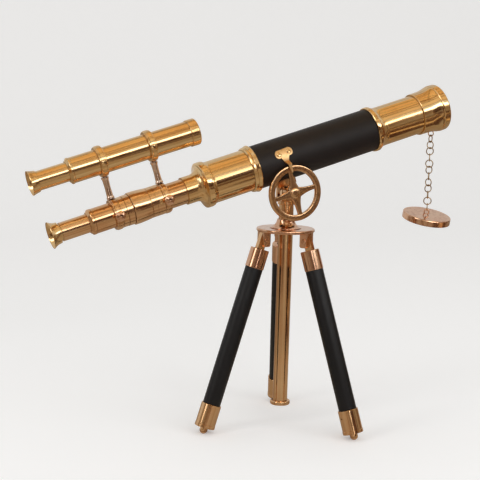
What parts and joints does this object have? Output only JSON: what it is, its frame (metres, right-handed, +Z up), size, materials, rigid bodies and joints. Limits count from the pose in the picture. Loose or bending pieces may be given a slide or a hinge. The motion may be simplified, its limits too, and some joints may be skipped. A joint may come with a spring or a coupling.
{
  "type": "table-top tripod telescope",
  "caption": "Table-top refracting telescope with a finder above its focusing tube, on a leather-clad three-legged stand with a spoked altitude wheel and a chained lens cap.",
  "frame": {"origin": "the standing surface, on the axis of the centre column", "axes": "+Z up; +X the way the telescope points, seen from above; +Y to the left of someone at the eyepiece, so the altitude wheel is on the -Y side"},
  "size_m": [0.4549, 0.1698, 0.3528],
  "materials": {
    "brass": "polished, with brown tarnish in the corners",
    "pale_brass": "polished bright yellow, lacquered",
    "rose_brass": "polished, coppery, slightly worn",
    "chain_brass": "dull, drawn wire",
    "black_leather": "fine grained, with a soft sheen",
    "brown_leather": "fine grained, matt, stitched along a seam",
    "lens_glass": "clear, coated faintly blue-green"
  },
  "bodies": {
    "stand": {"tripod_plate": "rose_brass", "column_bush": "brass", "hinge_pins": "brass"},
    "collar": {"column_collar": "rose_brass"},
    "leg_1": {"leg_1_tube": "brass", "leg_1_top_ferrule": "rose_brass", "leg_1_leather": "black_leather", "leg_1_bottom_ferrule": "rose_brass", "leg_1_foot": "brass"},
    "leg_2": {"leg_2_tube": "brass", "leg_2_top_ferrule": "rose_brass", "leg_2_leather": "black_leather", "leg_2_bottom_ferrule": "rose_brass", "leg_2_foot": "brass"},
    "leg_3": {"leg_3_tube": "brass", "leg_3_top_ferrule": "rose_brass", "leg_3_leather": "black_leather", "leg_3_bottom_ferrule": "rose_brass", "leg_3_foot": "brass"},
    "column": {"column_tube": "brass", "column_end_cap": "brass"},
    "head": {"fork_head": "brass", "altitude_axle": "brass"},
    "wheel": {"altitude_wheel": "rose_brass"},
    "telescope": {"saddle": "brass", "barrel_tube": "brass", "barrel_leather": "brown_leather", "index_pointer": "pale_brass", "small_screws": "pale_brass", "barrel_collar": "pale_brass", "rear_shell": "pale_brass", "focus_sleeve": "brass", "grip_sleeve": "brass", "objective_cell": "pale_brass", "objective_lens": "lens_glass", "lens_ring": "pale_brass", "rear_main_ring": "brass", "front_main_ring": "brass", "finder_pillars": "brass", "rear_finder_ring": "pale_brass", "front_finder_ring": "pale_brass", "finder_ring_screws": "pale_brass", "finder_tube": "pale_brass", "finder_collar": "pale_brass", "finder_cell": "pale_brass", "finder_objective": "lens_glass"},
    "draw": {"draw_tube": "brass", "draw_collar": "brass"},
    "eyepiece": {"eyepiece_tube": "brass", "eyepiece_cup": "pale_brass", "eye_lens": "lens_glass"},
    "finder_draw": {"finder_draw_tube": "pale_brass", "finder_eyepiece_cup": "pale_brass", "finder_eye_lens": "lens_glass"},
    "shade": {"dew_cap": "pale_brass"},
    "chain_a": {"chain_upper": "chain_brass"},
    "chain_b": {"chain_lower": "chain_brass"},
    "cap": {"lens_cap": "pale_brass"},
    "rear_knob": {"rear_ring_knob": "brass"},
    "front_knob": {"front_ring_knob": "brass"}
  },
  "joints": [
    {"name": "leg_1_fold", "type": "hinge", "parent": "stand", "child": "leg_1", "pos_m": [0.00708, 0.0247, 0.194], "axis": [-0.9063, 0.4226, 0], "range_deg": [0, 17.8]},
    {"name": "leg_2_fold", "type": "hinge", "parent": "stand", "child": "leg_2", "pos_m": [-0.0256, -0.00224, 0.194], "axis": [0.0872, -0.9962, 0], "range_deg": [0, 17.8]},
    {"name": "leg_3_fold", "type": "hinge", "parent": "stand", "child": "leg_3", "pos_m": [0.01474, -0.02105, 0.194], "axis": [0.8192, 0.5736, 0], "range_deg": [0, 17.8]},
    {"name": "collar_turn", "type": "hinge", "parent": "stand", "child": "collar", "pos_m": [0, 0, 0.205], "axis": [0, 0, 1], "range_deg": [0, 120]},
    {"name": "column_lift", "type": "slide", "parent": "stand", "child": "column", "axis": [0, 0, 1], "range_m": [-0.009, 0.15]},
    {"name": "azimuth", "type": "hinge", "parent": "column", "child": "head", "pos_m": [0, 0, 0.229], "axis": [0, 0, 1], "continuous": true},
    {"name": "wheel_turn", "type": "hinge", "parent": "head", "child": "wheel", "pos_m": [-0.0028, 0, 0.243], "axis": [0, 1, 0], "range_deg": [-180, 180]},
    {"name": "altitude", "type": "hinge", "parent": "head", "child": "telescope", "pos_m": [-0.0028, 0, 0.243], "axis": [0, -1, 0], "range_deg": [-27, 43]},
    {"name": "focus_draw", "type": "slide", "parent": "telescope", "child": "draw", "axis": [0.9563, 0, 0.2924], "range_m": [-0.018, 0.0185]},
    {"name": "eyepiece_draw", "type": "slide", "parent": "draw", "child": "eyepiece", "axis": [0.9563, 0, 0.2924], "range_m": [-0.028, 0.0255]},
    {"name": "finder_focus", "type": "slide", "parent": "telescope", "child": "finder_draw", "axis": [0.9563, 0, 0.2924], "range_m": [-0.022, 0.0255]},
    {"name": "shade_slide", "type": "slide", "parent": "telescope", "child": "shade", "axis": [0.9563, 0, 0.2924], "range_m": [-0.018, 0]},
    {"name": "chain_top_swing", "type": "hinge", "parent": "shade", "child": "chain_a", "pos_m": [0.165, 0, 0.29894], "axis": [0.4695, -0.8829, 0], "range_deg": [-45, 45]},
    {"name": "chain_middle_swing", "type": "hinge", "parent": "chain_a", "child": "chain_b", "pos_m": [0.165, 0, 0.25927], "axis": [0.9976, 0.0698, 0], "range_deg": [-35, 35]},
    {"name": "cap_swing", "type": "hinge", "parent": "chain_b", "child": "cap", "pos_m": [0.165, 0, 0.21962], "axis": [0.5299, 0.848, 0], "range_deg": [-40, 40]},
    {"name": "rear_knob_turn", "type": "hinge", "parent": "telescope", "child": "rear_knob", "pos_m": [-0.17885, 0, 0.22232], "axis": [0, 1, 0], "range_deg": [-180, 180]},
    {"name": "front_knob_turn", "type": "hinge", "parent": "telescope", "child": "front_knob", "pos_m": [-0.13075, 0, 0.23703], "axis": [0, 1, 0], "range_deg": [-180, 180]}
  ]
}
